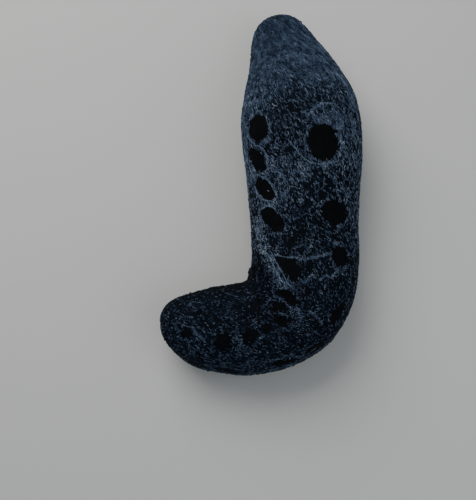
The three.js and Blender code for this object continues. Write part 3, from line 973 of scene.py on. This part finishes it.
def even_places(spacing, chance):
    """Places on a jittered grid over the coat, kept by how far the grid is stretched there."""
    along = np.arange(spacing / 2, BODY_LENGTH, spacing)
    reach = COAT_EDGE["phi"]
    widest = math.radians(2 * reach) * max(width for _, width in HALF_WIDTHS)
    step = 2 * reach / int(widest / spacing)
    grid = np.meshgrid(along, np.arange(-reach, reach, step), indexing="ij")
    s, phi = (part.ravel() for part in grid)
    s = s + spacing * chance.uniform(-0.5, 0.5, s.shape)
    s = np.clip(s, TIP_MARGIN, BODY_LENGTH - TIP_MARGIN)
    phi = phi + step * chance.uniform(-0.5, 0.5, phi.shape)
    per_length, per_degree = (np.linalg.norm(way, axis=-1) for way in skin_ways(s, phi))
    kept = chance.uniform(0, 1, s.shape) < per_length * per_degree * step / spacing
    return s[kept], phi[kept]


def skin_steps(way, along, around):
    """The steps of s and phi that make a short way in the skin, solved from its products with
    the two ways."""
    straight, cross, curved = dot(along, along), dot(along, around), dot(around, around)
    by_s, by_phi = dot(way, along), dot(way, around)
    size = straight * curved - cross**2
    return (by_s * curved - by_phi * cross) / size, (by_phi * straight - by_s * cross) / size


def strand_grains(chance):
    """Grains in bent strands of a few along the lie, as s, phi, the steps of both along the
    strand, and the tone. A strand is kept by -ln(1 - cover) / its share of the grid's square,
    which leaves the right share of the skin bare. A strand's spare grains go by the square of a
    random share, which is a third on average."""
    s, phi = even_places(STRAND["spacing"], chance)
    cover = np.minimum(sand_cover(s, phi, body_point(s, phi)), MOST_COVER)
    mean_grains = STRAND["fewest"] + (along_table(MOST_GRAINS, s) - STRAND["fewest"]) / 3
    share = -np.log(1 - cover) * STRAND["spacing"] ** 2 / (mean_grains * GRAIN_AREA)
    kept = chance.uniform(0, 1, s.shape) < share
    s, phi = s[kept, None], phi[kept, None]
    along, around = skin_ways(s, phi)
    normal = unit(np.cross(along, around))
    lie = lie_on(s, phi, normal)
    side = np.cross(normal, lie)
    spare = along_table(MOST_GRAINS, s) - STRAND["fewest"]
    grains = np.round(STRAND["fewest"] + spare * chance.uniform(0, 1, s.shape) ** 2)
    number = np.arange(STRAND["most"])
    place = number - (grains - 1) / 2
    sway = np.radians(along_table(SWAYS, s)) * chance.normal(0, 1, s.shape)
    bend = np.radians(along_table(BENDS, s)) * chance.normal(0, 1, s.shape)
    offset = (STRAND["pitch"] * place)[..., None] * polar(lie, side, sway + bend * place / 2)
    step_s, step_phi = skin_steps(offset, along, around)
    way_s, way_phi = skin_steps(polar(lie, side, sway + bend * place), along, around)
    tone = TONE_CHANCE["strand"] * along_table(CALMER, s) * chance.normal(0, 1, s.shape)
    used = number < grains
    parts = (s + step_s, phi + step_phi, way_s, way_phi, tone + 0 * place)
    return [part[used] for part in parts]


def line_place(far, walked, line, index):
    """The s and phi at a distance along a pale line, with its waver."""
    s, phi = (np.interp(far, walked, corner) for corner in np.array(line, float).T)
    cell = far / LINE_WAVER["cell"]
    apart = 0 * cell + LINE_WAVER["apart"] * index
    waver = LINE_WAVER["most"] * noise(np.stack((cell, apart, 0 * cell), -1), LINE_WAVER["seed"])
    return s + waver, phi + waver / MM_PER_DEGREE


def line_grains(chance):
    """Grains in a few broken rows along each pale line, in the same parts as the strands'. The
    line along the foot's lower outer edge is a painted rim highlight.
    """
    found = []
    for index, line in enumerate(PALE_LINES_AND_RIM_HIGHLIGHT):
        steps = np.diff(np.array(line, float), axis=0) * (1, MM_PER_DEGREE)
        lengths = np.linalg.norm(steps, axis=-1)
        walked = np.concatenate(([0], np.cumsum(lengths)))
        far = np.tile(np.arange(0, walked[-1], LINE_ROWS["pitch"]), LINE_ROWS["rows"])
        jitter = LINE_ROWS["jitter"]
        far = far + LINE_ROWS["pitch"] * chance.uniform(-jitter, jitter, far.shape)
        aside = LINE_ROWS["breadth"] * chance.normal(0, 1, far.shape)
        s, phi = line_place(far, walked, line, index)
        next_s, next_phi = line_place(far + WAY_STEPS["s"], walked, line, index)
        kept = chance.uniform(0, 1, far.shape) < LINE_ROWS["kept"]
        tone = TONE_CHANCE["strand"] * chance.normal(0, LINE_ROWS["chance"], far.shape)
        tone = LINE_ROWS["tone"] + tone
        parts = (s + aside, phi + aside / MM_PER_DEGREE, next_s - s, next_phi - phi, tone)
        found.append([part[kept] for part in parts])
    return [np.concatenate(parts) for parts in zip(*found)]


def grain_places(chance):
    """All the grains, without strands' grains past the tips or too far into a spot."""
    parts = strand_grains(chance)
    s, phi = parts[:2]
    fringe = along_table(FRINGES, s) + FRINGE_CHANCE * chance.uniform(0, 1, s.shape)
    fringe = np.where(chance.uniform(0, 1, s.shape) < along_table(VEILS, s), BODY_LENGTH, fringe)
    kept = spot_distance(s, phi, body_point(s, phi)) > -fringe
    kept = kept & (s > TIP_MARGIN) & (s < BODY_LENGTH - TIP_MARGIN)
    parts = [part[kept] for part in parts]
    return [np.concatenate(pair) for pair in zip(parts, line_grains(chance))]


def grain_axes(s, phi, way_s, way_phi, chance):
    """The long, the broad and the upright way of each grain: along its strand, turned and tilted
    a little by chance."""
    normal = normal_of(skin_point, s, phi)
    along, around = skin_ways(s, phi)
    way = unit(flattened(way_s[:, None] * along + way_phi[:, None] * around, normal))
    calmer = along_table(CALMER, s)
    sway = np.radians(GRAIN_SET["turn"]) * calmer * chance.normal(0, 1, s.shape)
    length_way = polar(way, np.cross(normal, way), sway)
    breadth_way = np.cross(normal, length_way)
    tilt = GRAIN_SET["tilt"] * calmer[:, None] * chance.normal(0, 1, (len(s), 2))
    normal = unit(normal + tilt[:, :1] * length_way + tilt[:, 1:] * breadth_way)
    length_way = unit(flattened(length_way, normal))
    return length_way, np.cross(normal, length_way), normal


def grain_halves(s, chance):
    """Half the length, breadth and height of each grain, a few of them big."""
    big = np.where(chance.uniform(0, 1, s.shape) < BIG_GRAINS["share"], BIG_GRAINS["scale"], 1)
    halves = [chance.uniform(*sizes, s.shape) * big / 2 for sizes in GRAIN.values()]
    halves[0] = halves[0] * along_table(GRAIN_STRETCH, s)
    return halves


def grain_tones(s, phi, tone, chance):
    """Each grain's tone: its strand's, and what the body's tables, streaks, band, patches and
    thin areas add."""
    place = body_point(s, phi)
    own = TONE_CHANCE["grain"] * along_table(CALMER, s) * chance.normal(0, 1, s.shape)
    tone = tone + along_table(TONES, s) + own
    tone = tone + along_table(STREAK_TONES, s) * streaks(place) + BAND_TONE * band_share(s, phi)
    tone = tone + patches(place, TONE_PATCHES)
    tone = tone + THIN_AREA_TONE * np.minimum(area_change(s, phi) - 1, 0)
    return np.clip(tone, LEAST_TONE, 1)


def make_sand():
    """Pebbles set along each strand, jittered corner by corner and sunk a third into the skin,
    shared out along the body among several pieces."""
    chance = np.random.default_rng(GRAIN_SET["seed"])
    places = grain_places(chance)
    order = np.argsort(places[0])
    s, phi, way_s, way_phi, tone = (part[order] for part in places)
    axes = grain_axes(s, phi, way_s, way_phi, chance)
    halves = grain_halves(s, chance)
    corners, faces = pebble()
    jitter = GRAIN_SET["jitter"] * chance.uniform(-1, 1, (len(s), len(corners), 1))
    shape = corners * (1 + jitter)
    proud = (1 - 2 * GRAIN_SET["sunk"]) * halves[2]
    points = (skin_point(s, phi) + proud[:, None] * axes[2])[:, None]
    for part, half, way in zip(np.moveaxis(shape, -1, 0), halves, axes):
        points = points + part[..., None] * (half[:, None] * way)[:, None]
    tone = grain_tones(s, phi, tone, chance)
    pieces = math.ceil(len(s) / GRAINS_A_PIECE)
    for number, part in enumerate(np.array_split(np.arange(len(s)), pieces), 1):
        first = len(corners) * np.arange(len(part))[:, None, None]
        part_faces = (faces + first).reshape(-1, 3)
        along = (s[part] - s[part[0]]) / (s[part[-1]] - s[part[0]])
        patch_centre = np.stack((along, phi[part] / 360 + 0.5), -1)
        patch = patch_centre[:, None] + GRAIN_PATCH / 2 * shape[part][..., :2]
        uv = patch.reshape(-1, 2)[part_faces.ravel()]
        tones = np.repeat(tone[part], len(corners))
        grains = points[part].reshape(-1, 3)
        add_piece(f"sand_{number}", grains, [part_faces], "sand", uv, flat=True, tone=tones)


# Papillae, feet, mouth

# The papillae's profile gives each ring's share of the height and of the radius.
PAPILLA = dict(count=260, reach=104, radius=(0.45, 0.75), height=(0.4, 0.6), sides=10, seed=23)
PAPILLA_CLEAR = dict(ends=5, spots=1)
PAPILLA_PROFILE = ((-0.5, 1.15), (0.0, 1.0), (0.4, 0.8), (0.75, 0.5), (0.95, 0.22))
PAPILLA_DUST = 0.5


def make_papillae():
    """Small soft cones on the back and sides: rings about the normal that narrow to a round tip."""
    chance = np.random.default_rng(PAPILLA["seed"])
    count = PAPILLA["count"]
    s = chance.uniform(PAPILLA_CLEAR["ends"], BODY_LENGTH - PAPILLA_CLEAR["ends"], count)
    phi = PAPILLA["reach"] * chance.uniform(-1, 1, count)
    clear = spot_distance(s, phi, body_point(s, phi)) > PAPILLA_CLEAR["spots"]
    s, phi = s[clear], phi[clear]
    root = skin_point(s, phi)
    normal = normal_of(skin_point, s, phi)
    lie = lie_on(s, phi, normal)
    side = np.cross(normal, lie)
    radius = chance.uniform(*PAPILLA["radius"], s.shape)
    height = chance.uniform(*PAPILLA["height"], s.shape)
    heights, shares = np.array(PAPILLA_PROFILE).T
    rim = polar(lie[:, None, None], side[:, None, None], turns(PAPILLA["sides"])[None, None])
    centres = root[:, None] + (heights * height[:, None])[..., None] * normal[:, None]
    rings = rings_about(centres, (shares * radius[:, None])[..., None], rim)
    points, faces = many_tubes(centres[:, 0], rings, root + height[:, None] * normal)
    dust = PAPILLA_DUST * dust_share(s, phi, body_point(s, phi))
    dust = np.repeat(dust, len(points) // len(s))
    add_piece("papillae", points, faces, "sanded_skin", dust=dust)


# The feet stand in rows, placed for one half width of the body and closer where it is narrower. The
# profile gives each ring's share of the way up and its radius, and the sucker's dimple is hollow.
FEET = dict(rows=11, edge=20.0, fit=28.0, pitch=5.4, start=27.0, end=220.0, sunk=1.4, sides=10)
FOOT_CHANCE = dict(along=1.4, aside=1, lean=0.25, sizes=(0.8, 1.1), seed=29)
FOOT_PROFILE = (
    (0.0, 1.05), (0.04, 1.18), (0.1, 1.1), (0.2, 0.72), (0.4, 0.6), (0.65, 0.62), (1.0, 0.85),
)
SUCKER = dict(dimple=0.25, pale_share=0.2)


def make_feet():
    """Tube feet in rows on the sole: each a stalk of rings from a flat sucker on the floor up to
    a root sunk in the skin, its radius from the profile."""
    chance = np.random.default_rng(FOOT_CHANCE["seed"])
    offsets = np.linspace(-FEET["edge"], FEET["edge"], FEET["rows"])
    along = np.arange(FEET["start"], FEET["end"], FEET["pitch"])
    s, offset = (part.ravel() for part in np.meshgrid(along, offsets, indexing="ij"))
    row = np.tile(np.arange(FEET["rows"]), len(along))
    reach = FOOT_CHANCE["along"]
    s = s + FEET["pitch"] * (row % 2) / 2 + chance.uniform(-reach, reach, s.shape)
    offset = offset + FOOT_CHANCE["aside"] * chance.uniform(-1, 1, s.shape)
    full = half_width(s)
    phi = 180 - np.degrees(np.arctan2(offset * full / FEET["fit"], SOLE["share"] * full))
    root = skin_point(s, phi)
    lean = chance.normal(0, FOOT_CHANCE["lean"], (len(s), 2))
    foot = root.copy()
    foot[:, :2] += lean * root[:, 2:]
    foot[:, 2] = 0
    root[:, 2] += FEET["sunk"]
    shares, radii = np.array(FOOT_PROFILE).T
    size = chance.uniform(*FOOT_CHANCE["sizes"], s.shape)
    centres = foot[:, None] + shares[:, None] * (root - foot)[:, None]
    rim = polar(LEVEL_X, LEVEL_Y, turns(FEET["sides"]))
    rings = rings_about(centres, (radii * size[:, None])[..., None], rim)
    points, faces = many_tubes(foot + SUCKER["dimple"] * UP, rings, root)
    pale = np.repeat(np.clip(1 - shares / SUCKER["pale_share"], 0, 1), FEET["sides"])
    tip = np.tile(np.concatenate(([1], pale, [0])), len(s))
    add_piece("tube_feet", points, faces, "bare_skin", tip=tip)


# The profile runs from the disc's back over its rim and lips into the mouth, as shares of the
# thickness and of the radius.
ORAL_DISC = dict(radius=9.3, thickness=2.6, sides=120, mouth_share=0.3)
DISC_FOLDS = dict(count=20, height=0.22, share=0.06, fade_out=2, fade_in=8)
DISC_PROFILE = (
    (0.0, 1.0), (0.6, 1.0), (0.9, 0.97), (1.0, 0.9), (0.95, 0.7), (0.9, 0.5), (1.15, 0.4),
    (1.3, 0.33), (1.1, 0.24), (0.7, 0.16), (0.4, 0.08),
)
disc_back = MOUTH_GAP - MOUTH["depth"]
disc_face = disc_back + ORAL_DISC["thickness"]


def mouth_point(drop, radius, turn):
    """A point about the mouth: a drop along its axis and a radius towards a turn in radians."""
    centre = mouth_centre + np.asarray(drop)[..., None] * mouth_axis
    return centre + np.asarray(radius)[..., None] * polar(mouth_across, mouth_third, turn)


def make_oral_disc():
    """The disc round the mouth: rings of a profile from its back to its opening, with radial
    folds that deepen towards the lips."""
    drops, shares = np.array(DISC_PROFILE).T[..., None]
    turn = turns(ORAL_DISC["sides"])
    deep = smooth((1 - shares) * DISC_FOLDS["fade_out"]) * smooth(shares * DISC_FOLDS["fade_in"])
    folds = deep * np.cos(DISC_FOLDS["count"] * turn)
    drop = disc_back + ORAL_DISC["thickness"] * drops + DISC_FOLDS["height"] * folds
    radius = ORAL_DISC["radius"] * shares * (1 + DISC_FOLDS["share"] * folds)
    start = mouth_point(disc_back, 0.0, 0.0)
    end = mouth_point(disc_back + ORAL_DISC["mouth_share"] * ORAL_DISC["thickness"], 0.0, 0.0)
    points, faces = many_tubes(start[None], mouth_point(drop, radius, turn)[None], end[None])
    disc = add_piece("oral_disc", points, faces, "bare_skin", tip=np.zeros(len(points)))
    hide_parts("mouth_tentacles")


# Each tentacle opens on the floor into a shield. The shield's rings are how far up they are, their
# share of the radius and how pale they are, and the stalk's are how far along it and their share.
TENTACLES = 20
TENTACLE = dict(ring=7.4, sunk=0.8, reaches=(6.6, 10.4), sides=60, dimple=0.15, seed=31)
SHIELD_RADIUS = 2.2
SHIELD_HEIGHT = 1.3
SHIELD = (
    (0.0, 0.35, 0.6), (0.02, 0.7, 0.6), (0.0, 0.96, 0.6), (0.18, 1.08, 0.6), (0.42, 1.0, 0.6),
    (0.7, 0.74, 0.36), (0.9, 0.48, 0.36),
)
STALK = ((0.3, 0.3), (0.5, 0.26), (0.75, 0.27), (1.0, 0.33))
LOBES = dict(count=5, share=0.16)
FINGERS = dict(count=15, share=0.12)
LOBED = dict(start=0.3, span=0.5)


def make_tentacles():
    """Shield-shaped tentacles round the mouth: a stalk that opens into a flat shield with lobes
    and fingers, its radius 1 + a cos(5w) + b cos(15w) growing towards the rim."""
    index = np.arange(TENTACLES)
    chance = np.random.default_rng(TENTACLE["seed"])
    spoke = polar(mouth_across, mouth_third, turns(TENTACLES))
    root = mouth_centre + (disc_face - TENTACLE["sunk"]) * mouth_axis + TENTACLE["ring"] * spoke
    on_floor = mouth_centre - mouth_centre[2] / mouth_axis[2] * mouth_axis
    level = unit(flattened(spoke, UP))
    foot = on_floor + np.array(TENTACLE["reaches"])[index % 2][:, None] * level
    foot[:, 2] = 0
    span = root - foot
    ups, shares, paleness = np.array(SHIELD).T
    stalk_shares, stalk_radii = np.array(STALK).T
    w = turns(TENTACLE["sides"])
    phase = chance.uniform(0, 2 * np.pi, (TENTACLES, 1, 1))
    waves = LOBES["share"] * np.cos(LOBES["count"] * w + phase)
    waves = waves + FINGERS["share"] * np.cos(FINGERS["count"] * w + 2 * phase)
    outer = smooth((shares - LOBED["start"]) / LOBED["span"])[:, None]
    radius = SHIELD_RADIUS * shares[:, None] * (1 + outer * waves)
    rim = polar(LEVEL_X, LEVEL_Y, w)
    lean = span / span[:, 2:]
    shield_centres = foot[:, None] + (SHIELD_HEIGHT * ups)[:, None] * lean[:, None]
    shield = rings_about(shield_centres, radius, rim)
    stalk_centres = foot[:, None] + stalk_shares[:, None] * span[:, None]
    stalk = rings_about(stalk_centres, (SHIELD_RADIUS * stalk_radii)[:, None], rim)
    rings = np.concatenate((shield, stalk), 1)
    points, faces = many_tubes(foot + TENTACLE["dimple"] * UP, rings, root)
    pale = np.repeat(np.concatenate((paleness, np.zeros(len(STALK)))), TENTACLE["sides"])
    tip = np.tile(np.concatenate((paleness[-1:], pale, [0])), TENTACLES)
    tentacles = add_piece("tentacles", points, faces, "bare_skin", tip=tip)
    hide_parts("mouth_tentacles")


make_skin()
make_sand()
make_papillae()
make_feet()
make_oral_disc()
make_tentacles()


# The floor, the lights and the camera, in metres unless named otherwise

FLOOR = dict(half=2.0, drop=0.02 * MM)
FLOOR_FINISH = {
    "Base Color": (0.62, 0.62, 0.6, 1),
    "Roughness": 0.9,
    "Specular IOR Level": 0.2,
}
LIT_PLACE = (0, 0.02, 0.02)
LIGHTS = dict(
    key=dict(place=(-0.22, 0.34, 0.5), size=0.5, power=3.2, colour=(1.0, 0.99, 0.97)),
    fill=dict(place=(0.4, -0.3, 0.45), size=0.6, power=1.1, colour=(0.93, 0.96, 1.0)),
)
WORLD_LIGHT = {"Color": (0.86, 0.93, 1.0, 1), "Strength": 0.28}


def make_floor():
    """A plain pale floor just under the feet."""
    half, level = FLOOR["half"], -FLOOR["drop"]
    sides = ((-half, -half), (half, -half), (half, half), (-half, half))
    mesh = bpy.data.meshes.new("floor")
    mesh.from_pydata([(*side, level) for side in sides], [], [(0, 1, 2, 3)])
    material, tree, shader = plain_material("floor")
    feed(tree, shader, FLOOR_FINISH)
    mesh.materials.append(material)
    new_object("floor", mesh)


def place_facing(name, data, place, target):
    """A lamp or camera at a place whose -Z looks at the target, with +Y as far up as it goes."""
    made = new_object(name, data)
    back = (Vector(place) - Vector(target)).normalized()
    turn = back.to_track_quat("Z", "Y").to_matrix().to_4x4()
    made.matrix_world = Matrix.Translation(place) @ turn
    return made


def add_light(name, place, size, power, colour):
    """A soft square light that faces the animal."""
    light = bpy.data.lights.new(name, "AREA")
    light.size = size
    light.energy = power
    light.color = colour
    place_facing(name, light, place, LIT_PLACE)


def add_world():
    """Even, dim light from all round."""
    world = bpy.data.worlds.new("studio")
    bpy.context.scene.world = world
    world.use_nodes = True
    feed(world.node_tree, world.node_tree.nodes["Background"], WORLD_LIGHT)


# The elevation and the upright view in degrees, and the rest in millimetres.
CAMERA_ELEVATION = 75
CAMERA_VIEW = 34
CAMERA_TARGET = (-12.8, -35.8, 20.0)
CAMERA_DISTANCE = 408.9
SENSOR_HEIGHT = 24
CLIP_START = 10


def add_camera():
    """Looks along +Y and steeply down, with the target at the middle of the image."""
    elevation = math.radians(CAMERA_ELEVATION)
    back = Vector((0, -math.cos(elevation), math.sin(elevation)))
    data = bpy.data.cameras.new("camera")
    data.sensor_fit = "VERTICAL"
    data.sensor_height = SENSOR_HEIGHT
    data.lens = SENSOR_HEIGHT / 2 / math.tan(math.radians(CAMERA_VIEW / 2))
    data.clip_start = CLIP_START * MM
    target = Vector(CAMERA_TARGET) * MM
    place = target + back * CAMERA_DISTANCE * MM
    bpy.context.scene.camera = place_facing("camera", data, place, target)


make_floor()
add_world()
for light_name, light_settings in LIGHTS.items():
    add_light(light_name, **light_settings)
add_camera()
